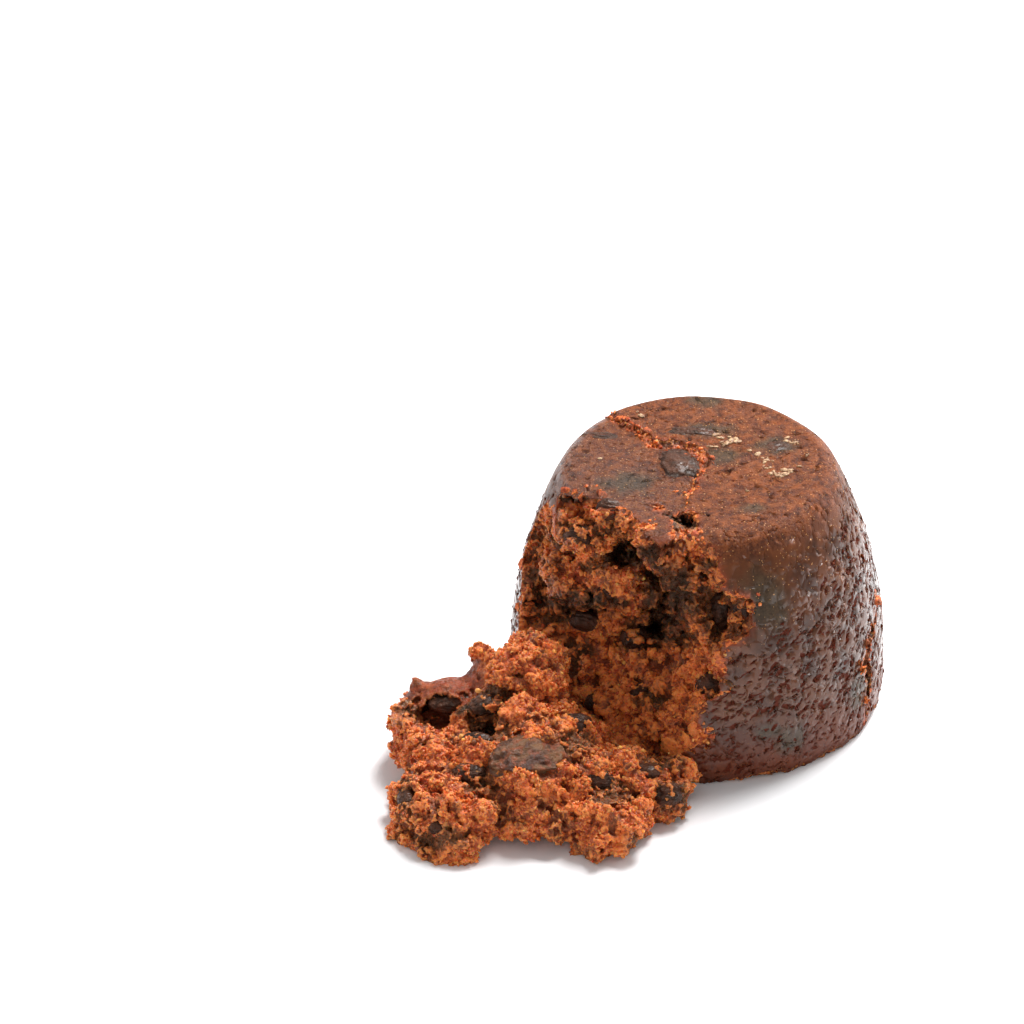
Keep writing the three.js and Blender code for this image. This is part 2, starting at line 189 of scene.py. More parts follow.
def left_of_crack(x, y):
    """Signed distance from the crack in the top: positive on its left."""
    place = np.stack([x, y], axis=1)
    nearest = np.full(len(place), 1e9)
    side = np.zeros(len(place))
    for start, end in zip(TOP_CRACK[:-1], TOP_CRACK[1:]):
        along = end - start
        share = np.clip((place - start) @ along / (along @ along), 0, 1)
        off = place - start - share[:, None] * along
        distance = np.linalg.norm(off, axis=1)
        cross = along[1] * off[:, 0] - along[0] * off[:, 1]
        closer = distance < nearest
        nearest[closer], side[closer] = distance[closer], np.where(cross > 0, 1, -1)[closer]
    return nearest * side


def top_height(x, y):
    start, end = TOP_CRACK[0], TOP_CRACK[-1]
    along = (end - start) / np.linalg.norm(end - start)
    left = along[1] * (x - start[0]) - along[0] * (y - start[1])
    crack = left_of_crack(x, y)
    step = CRACK_STEP * np.exp(-np.abs(crack) / CRACK_STEP_REACH) * (crack > 0)
    return HEIGHT + TOP_TILT * y - CRUST_SINK * np.maximum(0, left) - step


def slow_wave(points, size=13.0):
    """Uneven skin: a few crossed waves, between about -1 and 1."""
    x, y, z = points.T / size * 6.3
    return (np.sin(x + 1.3 + np.sin(0.7 * z)) + np.sin(0.8 * y + 2.1) * np.sin(0.9 * z + 0.4)
            + np.sin(0.6 * (x + z) - 0.8 * y)) / 3


def outside(points):
    """Distance out of the whole pudding's form, in mm, for an array of points."""
    x, y, z = points.T
    wave = slow_wave(points)
    flare = LIP * np.maximum(0, 1 - z / LIP_HEIGHT) ** 2 * np.clip(0.5 + 1.5 * slow_wave(points, 7.0), 0, 1)
    side = np.hypot(x, y) - wall_radius(z) - WALL_WAVE * wave - flare + RIM_ROUND
    lid = z - top_height(x, y) - TOP_WAVE * wave + RIM_ROUND
    corner = np.hypot(np.maximum(side, 0), np.maximum(lid, 0)) + np.minimum(np.maximum(side, lid), 0)
    return np.maximum(corner - RIM_ROUND, -z)


def from_front(points):
    """Places as someone at the table in front sees them: mm across and up."""
    return points[:, 0], DOWN * points[:, 1] + AHEAD * points[:, 2]


def within(points, patches):
    """1 in the middle of any of these uneven ovals, seen from the front."""
    across, up = from_front(points)
    wobble = 0.30 * slow_wave(points, 5.0) + 0.15 * slow_wave(points[:, [2, 0, 1]], 2.2)
    share = np.zeros(len(points))
    for (x, y), (wide, high) in patches:
        reach = np.hypot((across - x) / wide, (up - y) / high) + wobble
        share = np.maximum(share, 1 - smoothstep(1 - SOFT_EDGE, 1 + SOFT_EDGE, reach))
    return share


print("skin at the table:", float(wall_radius(np.array(0.0))), "mm from the middle")

# %% [markdown]
# ## Tools for meshes and nodes
#
# Much of this lesson is: read a mesh's points as an array, move them, note a
# number per point for a material to read, and let a modifier remake the mesh.
# These short helpers do that, and add nodes to a tree in one line each.

# %% Mesh helpers


def copy_of(node):
    """A merged copy of a plain part's mesh, to work on."""
    work = bmesh.new()
    work.from_mesh(frame["nodes"][node].data)
    bmesh.ops.remove_doubles(work, verts=work.verts, dist=1e-6)
    mesh = bpy.data.meshes.new(node + "_copy")
    work.to_mesh(mesh)
    work.free()
    return mesh


def points_of(mesh):
    places = np.empty(len(mesh.vertices) * 3)
    mesh.vertices.foreach_get("co", places)
    return places.reshape(-1, 3) / MM


def move_to(mesh, points):
    mesh.vertices.foreach_set("co", (points * MM).ravel())
    mesh.update()


def normals_of(mesh):
    directions = np.empty(len(mesh.vertices) * 3)
    mesh.vertex_normals.foreach_get("vector", directions)
    return directions.reshape(-1, 3)


def note(mesh, name, values):
    """Write one number per vertex into a named attribute."""
    layer = mesh.attributes.get(name) or mesh.attributes.new(name, "FLOAT", "POINT")
    layer.data.foreach_set("value", np.asarray(values, dtype=np.float32))


def noted(mesh, name):
    values = np.empty(len(mesh.vertices), dtype=np.float32)
    mesh.attributes[name].data.foreach_get("value", values)
    return values


def apply(mesh, kind, keep=False, **settings):
    """The mesh that one modifier makes of this one."""
    bench = bpy.data.objects.new("bench", mesh)
    bpy.context.scene.collection.objects.link(bench)
    modifier = bench.modifiers.new("step", kind)
    for key, value in settings.items():
        setattr(modifier, key, value)
    result = bpy.data.meshes.new_from_object(bench.evaluated_get(bpy.context.evaluated_depsgraph_get()))
    bpy.data.objects.remove(bench)
    if not keep:
        bpy.data.meshes.remove(mesh)
    return result


def blurred(mesh, values, times):
    """Values averaged with those of the neighbours, over and over."""
    ends = np.empty(len(mesh.edges) * 2, dtype=np.int64)
    mesh.edges.foreach_get("vertices", ends)
    ends = ends.reshape(-1, 2)
    count = np.bincount(ends.ravel(), minlength=len(values)) + 1.0
    flat = values.reshape(len(values), -1).astype(float)
    for _ in range(times):
        total = np.empty_like(flat)
        for column in range(flat.shape[1]):
            total[:, column] = (np.bincount(ends[:, 0], flat[ends[:, 1], column], len(flat))
                                + np.bincount(ends[:, 1], flat[ends[:, 0], column], len(flat)))
        flat = (flat + total) / count[:, None]
    return flat.reshape(values.shape)


def above_table(mesh):
    """Lift what would lie below the table up to it."""
    places = points_of(mesh)
    places[:, 2] = np.maximum(places[:, 2], 0)
    move_to(mesh, places)
    return mesh


def thinned(mesh, triangles):
    """At most so many triangles, kept where the mesh is roughest."""
    now = sum(len(polygon.vertices) - 2 for polygon in mesh.polygons)
    return above_table(apply(mesh, "DECIMATE", ratio=min(1.0, triangles / now), use_collapse_triangulate=True))


GRAIN_RELIEF, CLUMP_RELIEF = 0.2, 0.5  # standing out this far, in mm, counts as 1


def note_peaks(mesh):
    """peak and swell: how high a point stands over what is near, and farther."""
    places, directions = points_of(mesh), normals_of(mesh)
    near = blurred(mesh, places, 12)
    note(mesh, "peak", np.clip(((places - near) * directions).sum(axis=1) / GRAIN_RELIEF, -2, 2))
    wide = blurred(mesh, near, 70)
    smooth_way = blurred(mesh, directions, 30)
    note(mesh, "swell", np.clip(((near - wide) * smooth_way).sum(axis=1) / CLUMP_RELIEF, -2, 2))


def smooth_shaded(mesh):
    mesh.polygons.foreach_set("use_smooth", np.ones(len(mesh.polygons), dtype=bool))
    mesh.update()
    return mesh


# %% Node helpers


def put(tree, kind, inputs=None, **settings):
    """Add one node: its settings, then its inputs as values or links."""
    node = tree.nodes.new(kind)
    for key, value in settings.items():
        setattr(node, key, value)
    for key, value in (inputs or {}).items():
        if isinstance(value, bpy.types.NodeSocket):
            tree.links.new(value, node.inputs[key])
        else:
            node.inputs[key].default_value = value
    return node


def calc(tree, how, *values):
    return put(tree, "ShaderNodeMath", dict(enumerate(values)), operation=how).outputs[0]


def times(tree, one, other):
    return put(tree, "ShaderNodeMath", {0: one, 1: other}, operation="MULTIPLY").outputs[0]


def vector(tree, how, *values):
    return put(tree, "ShaderNodeVectorMath", dict(enumerate(values)), operation=how).outputs[0]


def scaled(tree, places, factor):
    return put(tree, "ShaderNodeVectorMath", {0: places, "Scale": factor}, operation="SCALE").outputs[0]


def height_of(tree, where):
    return put(tree, "ShaderNodeSeparateXYZ", {0: where}).outputs["Z"]


def noise(tree, places, scale, detail=2.0, roughness=0.5, what="Fac"):
    return put(tree, "ShaderNodeTexNoise", {"Vector": places, "Scale": scale, "Detail": detail,
                                            "Roughness": roughness}).outputs[what]


def shove(tree, where, scale, reach, detail=2.0):
    """A noisy offset, up to about half the reach along each axis."""
    way = vector(tree, "SUBTRACT", noise(tree, where, scale, detail, what="Color"), (0.5, 0.5, 0.5))
    return scaled(tree, way, reach)


def between(tree, value, low, high, to_low=0.0, to_high=1.0):
    """Map a value from low..high to to_low..to_high, and hold it there."""
    return put(tree, "ShaderNodeMapRange", {"Value": value, "From Min": low, "From Max": high, "To Min": to_low,
                                            "To Max": to_high}, interpolation_type="SMOOTHSTEP").outputs[0]


def geometry_recipe(recipe):
    """Turn recipe( tree, geometry ), which returns the result, into a Geometry Nodes tree."""
    tree = bpy.data.node_groups.new(recipe.__name__, "GeometryNodeTree")
    for way in ("INPUT", "OUTPUT"):
        tree.interface.new_socket("Geometry", in_out=way, socket_type="NodeSocketGeometry")
    start = put(tree, "NodeGroupInput").outputs[0]
    put(tree, "NodeGroupOutput", {0: recipe(tree, start)})
    return tree


def attribute(tree, name):
    return put(tree, "GeometryNodeInputNamedAttribute", {"Name": name}, data_type="FLOAT").outputs["Attribute"]


def millimetres(tree):
    return scaled(tree, put(tree, "GeometryNodeInputPosition").outputs[0], 1 / MM)


def set_position(tree, geometry, offset, **inputs):
    return put(tree, "GeometryNodeSetPosition", {"Geometry": geometry, "Offset": offset, **inputs}).outputs[0]


# %% [markdown]
# ## Where the fruit sits
#
# Raisins show all over the torn faces and lie flush in the top. Their places
# come first, because no crumb is strewn over them. Each has a place, half
# sizes in mm and a turn in degrees.

# %% Places of the fruit
TOP_FRUIT = [
    ((-3.6, 0.3, 41.0), (3.6, 4.6, 1.6), 10), ((12.8, 5.0, 41.75), (2.7, 2.4, 0.85), 0),
    ((-1.2, 9.6, 41.95), (5.6, 2.0, 0.8), -8), ((-15.2, 8.8, 41.0), (3.9, 2.3, 1.0), -10),
]
TEAR_FRUIT = [
    ((-14.8, -11.0, 40.0), (2.1, 1.9, 1.6), 0), ((-19.5, -10.5, 34.8), (2.5, 1.9, 1.7), 0),
    ((-10.5, -11.0, 15.8), (2.1, 2.0, 2.0), 40), ((3.4, -18.8, 25.5), (2.3, 2.1, 3.1), 0),
    ((6.6, -22.0, 27.4), (2.1, 1.9, 3.3), 0), ((1.4, -25.9, 16.0), (2.3, 2.1, 1.9), 0),
    ((-0.8, -17.6, 30.6), (1.9, 2.2, 2.8), 10), ((-9.4, -17.2, 9.0), (2.0, 1.5, 1.3), 30),
    ((-18.6, -8.2, 17.0), (2.4, 1.6, 1.7), -15), ((-17.2, -17.0, 7.0), (1.7, 1.4, 1.4), 60),
    ((-15.0, -13.8, 26.4), (1.9, 1.3, 1.4), 20),
]
CHUNK_FRUIT = [
    ((-20.4, -31.6, 12.2), (2.6, 1.9, 1.5), 0), ((-5.8, -41.0, 5.0), (2.2, 2.0, 1.9), 0),
    ((-16.8, -42.5, 8.8), (2.3, 1.9, 1.5), 0), ((-9.3, -38.4, 7.2), (2.5, 1.9, 1.5), 0),
    ((-37.2, -40.6, 9.0), (2.6, 2.0, 1.4), 0), ((-34.2, -27.6, 13.4), (3.0, 2.0, 1.4), 25),
    ((-35.9, -35.0, 11.0), (2.6, 1.9, 1.3), -15), ((-41.0, -49.6, 4.8), (2.6, 1.4, 1.2), 20),
    ((-47.2, -42.6, 4.8), (1.5, 2.6, 1.6), 10), ((-40.4, -22.6, 10.6), (3.4, 2.0, 1.5), 15),
]
FIG = ((-27.6, -39.8, 10.2), (6.2, 5.6, 3.4), 15)


def off_fruit(points, fruit, share=0.95):
    """1 where crumb may lie, 0 inside any of these fruits."""
    clear = np.ones(len(points))
    for place, half, turn in fruit:
        angle = math.radians(turn)
        off = points - np.array(place)
        across = off[:, 0] * math.cos(angle) + off[:, 1] * math.sin(angle)
        back = off[:, 1] * math.cos(angle) - off[:, 0] * math.sin(angle)
        reach = np.sqrt((across / half[0]) ** 2 + (back / half[1]) ** 2 + (off[:, 2] / half[2]) ** 2)
        clear[reach < share] = 0
    return clear


print(len(TOP_FRUIT) + len(TEAR_FRUIT) + len(CHUNK_FRUIT), "raisins and one fig")

# %% [markdown]
# ## Where the crust is torn
#
# The plain body is remeshed into small even squares, shaken by noise so that
# the torn edge becomes ragged, and then every point that lies on the skin is
# set back onto the smooth form. What is left off the form is torn crumb. Its
# few deep holes are then pushed in by listed ovals, because noise alone
# would put them anywhere, and the crack in the top is filled nearly level.

# %% The torn body
FINE = 0.24  # width of the squares, in mm
SKIN_DEPTH = 0.55  # what lies less deep than this is skin
HOLLOWS = [  # deep holes in the torn face, seen from the front: place, half size, depth
    ((-5.8, 14.2), (4.3, 7.4), 9.0), ((-11.3, 21.0), (5.0, 2.0), 6.0), ((-20.0, 13.4), (7.5, 1.6), 4.0),
    ((-20.0, 30.7), (3.2, 1.3), 4.0), ((-4.0, 26.4), (2.8, 1.6), 6.0), ((-6.0, 8.1), (4.0, 1.3), 3.0),
]
NOT_SKIN = [((-25.6, 17.6), (3.3, 6.2)), ((-8.5, 22.6), (5.0, 3.6))]  # torn, though near the form
PEELED = 1.7  # how much of the crumb went with the skin there, in mm
PEEL_TOP = 40  # the side ends here, and no skin is missing above
INWARD = np.array([0, AHEAD, -DOWN])  # away from someone in front, and down
CRACK_HALF_WIDTH, CRACK_DEPTH, CRACK_FRONT = 2.0, 5, -7
CRACK_FILL = 0.45  # how far below the top the crumb in the crack lies


@geometry_recipe
def shake(tree, geometry):
    """Push points about by three sizes of noise, 2 to 3 mm each."""
    where = millimetres(tree)
    offset = vector(tree, "ADD", shove(tree, where, 0.22, 3.2 * MM), shove(tree, where, 0.50, 3.0 * MM))
    return set_position(tree, geometry, vector(tree, "ADD", offset, shove(tree, where, 1.2, 1.8 * MM, 1.0)))


def onto_form(points, chosen, steps=3):
    """Move the chosen points along the form's slope until they lie on it."""
    moved = points.copy()
    some = moved[chosen]
    for _ in range(steps):
        off = outside(some)
        slope = np.stack([(outside(some + 0.05 * axis) - off) / 0.05 for axis in np.eye(3)], axis=1)
        slope /= np.maximum(np.linalg.norm(slope, axis=1, keepdims=True), 1e-6)
        some = some - slope * off[:, None]
    moved[chosen] = some
    return moved


def peeled(points):
    """1 where the skin came off and the crumb below it stayed."""
    return within(points, NOT_SKIN) * (points[:, 1] < 0) * (points[:, 2] < PEEL_TOP)


body = apply(copy_of("pudding"), "REMESH", mode="VOXEL", voxel_size=FINE * MM)
calm = points_of(body)
skin = (outside(calm) > -SKIN_DEPTH) & ~(peeled(calm) > 0.5)
body = apply(body, "NODES", node_group=shake)
places = onto_form(points_of(body), skin)
from_axis = places * (1, 1, 0) / np.hypot(places[:, 0], places[:, 1])[:, None]
places -= from_axis * (PEELED * peeled(places) * ~skin)[:, None]
facing = normals_of(body) @ -INWARD > -0.3
for patch, half, depth in HOLLOWS:
    share = within(places, [(patch, half)]) * (~skin & facing & (places[:, 2] > 2))
    places += depth * share[:, None] * INWARD
x, y, z = places.T
in_crack = (np.abs(left_of_crack(x, y)) < CRACK_HALF_WIDTH) & (z > HEIGHT - CRACK_DEPTH) & (y > CRACK_FRONT) & ~skin
fill = top_height(x, y) - CRACK_FILL + 0.2 * slow_wave(places, 2.4)
places[:, 2] = np.where(in_crack, np.maximum(z, fill), np.maximum(z, 0))
places[in_crack] = blurred(body, places, 5)[in_crack]
move_to(body, places)
note(body, "torn", ~skin)
note(body, "skin", skin)
note(body, "open_crumb", ~skin * off_fruit(places, TEAR_FRUIT) * ~in_crack)
print("torn body:", len(body.polygons), "faces,", int((~skin).sum()), "points on torn crumb")

# %% [markdown]
# ## Crumb
#
# Steamed crumb is thousands of grains that stick together in clumps. The torn
# faces first swell into rounded cells of two sizes with creases between. Then
# grains are strewn over them with Geometry Nodes in three sizes, and a voxel
# remesh melts it all into one moist mass. Sticky fruit pulp shows here and
# there between the clumps, and stays bare. Modelling single grains by hand
# would take days, and a bump pattern alone would leave the outline smooth.

# %% Grains on the torn faces
CLUMPS = ((3.4, 1.25), (1.5, 0.7))  # width and height in mm
GRAINS = ((2.4, (0.18, 0.40), 23), (1.2, (0.30, 0.75), 13), (0.12, (0.45, 0.95), 3))  # per mm2, radii, seed


def strew(tree, geometry, crowd, density, sizes, seed):
    """Uneven grains on the crumb: so many per square mm, radii in mm."""
    spots = put(tree, "GeometryNodeDistributePointsOnFaces",
                {"Mesh": geometry, "Selection": calc(tree, "GREATER_THAN", attribute(tree, "open_crumb"), 0.5),
                 "Density": times(tree, crowd, density / MM ** 2), "Seed": seed}).outputs["Points"]
    grain = put(tree, "GeometryNodeMeshIcoSphere", {"Radius": MM, "Subdivisions": 1}).outputs["Mesh"]
    size, turn = [put(tree, "FunctionNodeRandomValue", {0: (low,) * 3, 1: (high,) * 3, "Seed": number},
                      data_type="FLOAT_VECTOR").outputs[0]
                  for low, high, number in ((*sizes, seed + 1), (0, 6.28, seed + 2))]
    grains = put(tree, "GeometryNodeInstanceOnPoints",
                 {"Points": spots, "Instance": grain, "Rotation": turn, "Scale": size}).outputs[0]
    tone = put(tree, "FunctionNodeRandomValue", {2: 0.0, 3: 1.0, "Seed": seed + 3}, data_type="FLOAT").outputs[1]
    grains = put(tree, "GeometryNodeStoreNamedAttribute", {"Geometry": grains, "Name": "tone", "Value": tone},
                 data_type="FLOAT", domain="INSTANCE").outputs[0]
    return put(tree, "GeometryNodeRealizeInstances", {"Geometry": grains}).outputs[0]


def pulp_islands(tree, where):
    """1 where sticky fruit pulp shows between the crumb, for a place in mm."""
    return between(tree, noise(tree, where, 0.24, 4.0, 0.6), 0.51, 0.59)


@geometry_recipe
def clump(tree, geometry):
    """Swell the crumb into rounded clumps of two sizes with creases between."""
    where = millimetres(tree)
    bent = vector(tree, "ADD", where, shove(tree, where, 0.4, 3.2))
    swell = times(tree, between(tree, noise(tree, where, 0.30, 2.0), 0.56, 0.68), -1.3)
    for size, height in CLUMPS:
        apart = put(tree, "ShaderNodeTexVoronoi", {"Vector": bent, "Scale": 1 / size}).outputs["Distance"]
        round_off = calc(tree, "MULTIPLY_ADD", calc(tree, "POWER", apart, 2.0), -1.6, 0.3)
        swell = calc(tree, "MULTIPLY_ADD", round_off, height, swell)
    swell = times(tree, times(tree, swell, attribute(tree, "open_crumb")), MM)
    return set_position(tree, geometry, scaled(tree, put(tree, "GeometryNodeInputNormal").outputs[0], swell))


@geometry_recipe
def crumble(tree, geometry):
    """Strew the grains, the small ones evenly and the larger ones in crowds."""
    where = millimetres(tree)
    clumped = between(tree, noise(tree, where, 0.42, 2.0), 0.40, 0.62)
    even = calc(tree, "SUBTRACT", 1.0, pulp_islands(tree, where))
    crowded = times(tree, clumped, even)
    joined = put(tree, "GeometryNodeJoinGeometry")
    strewn = [strew(tree, geometry, crowd, *kind) for crowd, kind in zip((even, crowded, crowded), GRAINS)]
    for part in (*strewn, geometry):
        tree.links.new(part, joined.inputs[0])
    loose = calc(tree, "LESS_THAN", attribute(tree, "skin"), 0.5)
    return set_position(tree, joined.outputs[0], shove(tree, where, 1.5, 1.3 * MM), Selection=loose)


CRUMB_VOXEL = 0.18
MOST_TRIANGLES = 190_000
crumb = apply(body, "NODES", keep=True, node_group=clump)
crumb = apply(crumb, "NODES", node_group=crumble)
crumb = apply(crumb, "REMESH", mode="VOXEL", voxel_size=CRUMB_VOXEL * MM)
print("melted crumb:", len(crumb.polygons), "faces")

# %% [markdown]
# Near the skin the melted mesh is still the smooth form. There it is sunk
# half a millimetre, so that the crust covers it, and the torn part gets a last
# fine roughness. Crumb never stood out past the basin's wall, so what does is
# pressed back. A decimate step then spends the faces where the relief is.
#
# What the finish needs to know is noted on the points: how far each stands
# out, where dark is painted for wet crumb and for shade in crevices, and where
# a hole gets painted shade.

# %% Crumb of the pudding
SUNK = 0.55
PROUD_FROM, MOST_PROUD, TUCKED = 0.05, 0.18, 0.15
FINE_ROUGHNESS = 1.25


def within_form(points):
    """Tuck what stands out of the whole pudding's form in, just under the crust."""
    over = outside(points)
    proud = over > PROUD_FROM
    settled = onto_form(points, proud)
    way = (points - settled) / np.maximum(over, PROUD_FROM)[:, None]
    left_over = MOST_PROUD * over / (MOST_PROUD + np.maximum(over, 0)) - TUCKED
    return np.where(proud[:, None], settled + way * left_over[:, None], points)


@geometry_recipe
def roughen(tree, geometry):
    reach = times(tree, attribute(tree, "torn"), FINE_ROUGHNESS * MM)
    return set_position(tree, geometry, shove(tree, millimetres(tree), 2.0, reach, 3.0))


covered = blurred(crumb, (np.abs(outside(points_of(crumb))) < 0.10).astype(float), 3)
note(crumb, "torn", 1 - smoothstep(0.5, 0.99, covered))
crumb = apply(crumb, "NODES", node_group=roughen)
places = within_form(points_of(crumb)) - normals_of(crumb) * (SUNK * (covered > 0.99))[:, None]
places[:, 2] = np.maximum(places[:, 2], 0.02)
move_to(crumb, places)
crumb = smooth_shaded(thinned(crumb, MOST_TRIANGLES))
note_peaks(crumb)
# Painted shade and wet crumb: these patches are painted dark, partly for wet crumb and partly for the shade that falls
# in the crevices.
MOIST_AND_SHADED_TEAR = [  # dark wet crumb of the hollow, seen from the front: place and half size
    ((2.4, 13.4), (5.5, 7.5)), ((-22.5, 12.6), (10.0, 3.4)), ((-19.2, 24.6), (9.0, 2.3)), ((-22.5, 4.3), (5.2, 3.6)),
    ((-7.6, 7.6), (6.5, 2.2)), ((3.1, -0.7), (3.2, 2.6)), ((-14.0, 30.0), (3.6, 1.5)), ((-9.4, 8.6), (3.0, 2.2)),
    ((-3.0, 27.0), (3.0, 2.2)), ((-8.0, -2.5), (2.6, 1.8)), ((-17.5, 19.0), (2.4, 1.4)), ((-25.8, 17.5), (2.6, 5.4)),
]
places = points_of(crumb)
note(crumb, "moist_and_shade", within(places, MOIST_AND_SHADED_TEAR) * (places[:, 1] < 5))
x, y, z = places.T
# Painted shade: the crack low in the right side, the foot, the deep holes and the crack in the top are noted here to be
# painted near black.
shade = 0.8 * smoothstep(8, 14, x) * smoothstep(41, 38, z)  # the crack low in the right side
shade = np.maximum(shade, 0.8 * smoothstep(1.6, 0.8, z) * (x > 3))  # the foot
shade = np.maximum(shade, within(places, [hole[:2] for hole in HOLLOWS]) * (y < 12))
in_top_crack = (np.abs(left_of_crack(x, y)) < CRACK_HALF_WIDTH + 0.4) & (z > 39) & (y > CRACK_FRONT)
note(crumb, "hollow", np.maximum(shade, 0.38 * in_top_crack))
# Painted light: the low crumb of the tear is painted brighter, as if lit from the table.
note(crumb, "glow", smoothstep(22, 13, z) * (y < 5) * (x < 8))  # light from the table reaches the low crumb
print("pudding crumb:", len(crumb.polygons), "triangles")

# %% [markdown]
# ## Crust
#
# Steam bubbles leave small slanting pits in a pudding's side. The same recipe
# of nodes is used twice: here it presses the pits into the mesh, and later it
# colours them. Noise is turned along a spiral, so that it has no seam, and
# only its highest islands become pits. Where the crumb lies open, the crust
# mesh dives under it, and its edge there is left ragged.

# %% Pits
SPIRAL = 0.024  # turn of the spiral in radians per mm of height
PIT_DEPTH = 0.28


def pit_depth(tree, where, bare):
    """Noise whose highest islands, above about 0.6, are the pits."""
    turned = put(tree, "ShaderNodeVectorRotate",
                 {"Vector": where, "Angle": times(tree, height_of(tree, where), -SPIRAL)},
                 rotation_type="Z_AXIS").outputs[0]
    bent = vector(tree, "ADD", vector(tree, "MULTIPLY", turned, (1, 1, 1.25)), shove(tree, where, 0.9, 0.45, 0.0))
    islands = calc(tree, "MAXIMUM", noise(tree, bent, 0.74, 1.0, 0.35),
                   calc(tree, "SUBTRACT", noise(tree, bent, 1.15, 0.0), 0.06))
    return calc(tree, "SUBTRACT", islands, times(tree, bare, 0.2))


PITS_END_AT = ([-180, -120, -85, -60, -35, -15, 20, 180], [34, 26, 23, 26, 34, 38.5, 38.5, 37])  # heading, height


def bare_skin(points):
    """1 where the skin has no pits: the top, and the side down to a line."""
    heading = np.degrees(np.arctan2(points[:, 1], points[:, 0]))
    line = np.interp(heading, *PITS_END_AT)
    high = smoothstep(-2.5, 2.5, points[:, 2] - line + 2.5 * slow_wave(points, 9.0))
    low = 0.15 * (1 - smoothstep(1.0, 4.0, points[:, 2] + 1.5 * slow_wave(points, 9.0)))
    return np.maximum(high, low)


@geometry_recipe
def press(tree, geometry):
    pits = between(tree, pit_depth(tree, millimetres(tree), attribute(tree, "bare")), 0.606, 0.640)
    skin_part = calc(tree, "SUBTRACT", 1.0, attribute(tree, "torn"))
    depth = times(tree, times(tree, pits, skin_part), -PIT_DEPTH * MM)
    return set_position(tree, geometry, scaled(tree, put(tree, "GeometryNodeInputNormal").outputs[0], depth))


CRUST_PROUD, CRUST_DIVE = 0.05, 0.8
torn = noted(body, "torn")
deep = blurred(body, torn, 2)
shift = np.where(deep > 0.5, -CRUST_DIVE, CRUST_PROUD)
places = points_of(body) + normals_of(body) * shift[:, None]
settled = blurred(body, places, 12)
places[deep > 0.98] = settled[deep > 0.98]
places[:, 2] = np.maximum(places[:, 2], 0)
note(body, "rim", blurred(body, torn, 5))
note(body, "near_tear", blurred(body, torn, 40))
note(body, "bare", bare_skin(places))
move_to(body, places)
crust = apply(body, "NODES", node_group=press)
crust = smooth_shaded(thinned(crust, MOST_TRIANGLES))
print("crust:", len(crust.polygons), "triangles")

# %% Fruit that darkens the skin from below
STAINS = [  # place and half size
    ((-11.8, -5.2, 41.6), (5.4, 3.8, 4.0)), ((1.3, 18.5, 42.5), (3.6, 2.2, 3.0)), ((9.9, -24.5, 31.2), (4.6, 4.0, 7.0)),
    ((14.7, -27.2, 6.6), (3.2, 3.2, 3.6)), ((25.8, -16.8, 9.1), (2.6, 3.2, 3.8)), ((11.0, -28.7, 9.2), (2.6, 2.0, 1.8)),
    ((12.4, 5.0, 42.0), (4.0, 3.2, 2.0)), ((1.5, 9.8, 42.2), (5.5, 2.4, 2.0)), ((8.0, -14.0, 42.0), (3.0, 1.6, 2.0)),
    ((3.5, 2.0, 42.0), (4.0, 3.0, 2.0)), ((-26.0, 10.0, 20.0), (5.0, 5.0, 4.0)), ((8.0, 29.0, 14.0), (6.0, 4.0, 4.0)),
    ((22.0, 12.0, 33.0), (5.0, 4.0, 4.0)),
]
places = points_of(crust)
wobble = 0.25 * slow_wave(places, 3.5) + 0.15 * slow_wave(places[:, [1, 2, 0]], 1.6)
stain = np.zeros(len(places))
for place, half in STAINS:
    reach = np.linalg.norm((places - np.array(place)) / np.array(half), axis=1) + wobble
    stain = np.maximum(stain, 1 - smoothstep(0.45, 1.2, reach))
note(crust, "stain", stain)
left = left_of_crack(places[:, 0], places[:, 1])
note(crust, "glaze", smoothstep(-1, 2, left) * smoothstep(38, 40.5, places[:, 2]))  # the wet part of the top
print("stained points:", int((stain > 0.5).sum()))

# %% [markdown]
# ## The chunk
#
# The chunk that came out of the hollow is made the same way, but it is nearly
# all crumb. Only the curl at its far left still carries a strip of skin. The
# plain mesh is averaged many times over for that strip, so it stays smooth.

# %% Crumb of the chunk
CURL = (np.array([-40.5, -19.0, 10.5]), np.array([7.8, 7.5, 7.5]))  # middle and half size
CURL_CALM = 110  # how many times the mesh is averaged there
CURL_RIDGE, CURL_LIFT = -41.6, 1.6  # where the rolled skin is highest, and by how much
OUTER_FACE = np.array([-0.35, 0.55, 0.75])  # which way the strip of skin faces
SKIN_FROM = 0.4  # share of curl above which a point is skin
# Painted shade and wet crumb: these patches of the chunk are painted dark, partly for wet crumb and partly for the
# shade in its hollows.
MOIST_AND_SHADED_CHUNK = [  # dark wet patches of the chunk, seen from the front
    ((-43.6, -3.2), (7.0, 3.2)), ((-34.2, -6.8), (3.8, 2.4)), ((-35.3, -15.0), (3.2, 2.4)), ((-20.5, -8.9), (3.6, 2.0)),
    ((-15.0, -16.2), (3.0, 2.2)), ((-6.8, -12.0), (3.4, 2.2)), ((-4.6, -17.5), (3.0, 3.4)),
    ((-42.0, -23.6), (5.0, 2.4)), ((-47.6, -17.0), (1.8, 3.4)), ((-34.0, -1.8), (3.8, 2.0)),
    ((-10.8, -24.4), (2.4, 1.8)),
]
CHUNK_HOLLOWS = [  # as for the body; a negative depth fills
    ((-40.8, -2.8), (5.6, 2.2), 3.5), ((-45.0, -6.8), (5.0, 2.4), -5.0), ((-33.9, -8.0), (3.4, 1.8), 2.0),
]
chunk = apply(copy_of("broken_piece"), "REMESH", mode="VOXEL", voxel_size=FINE * MM)
calm = blurred(chunk, points_of(chunk), CURL_CALM)
chunk = apply(chunk, "NODES", node_group=shake)


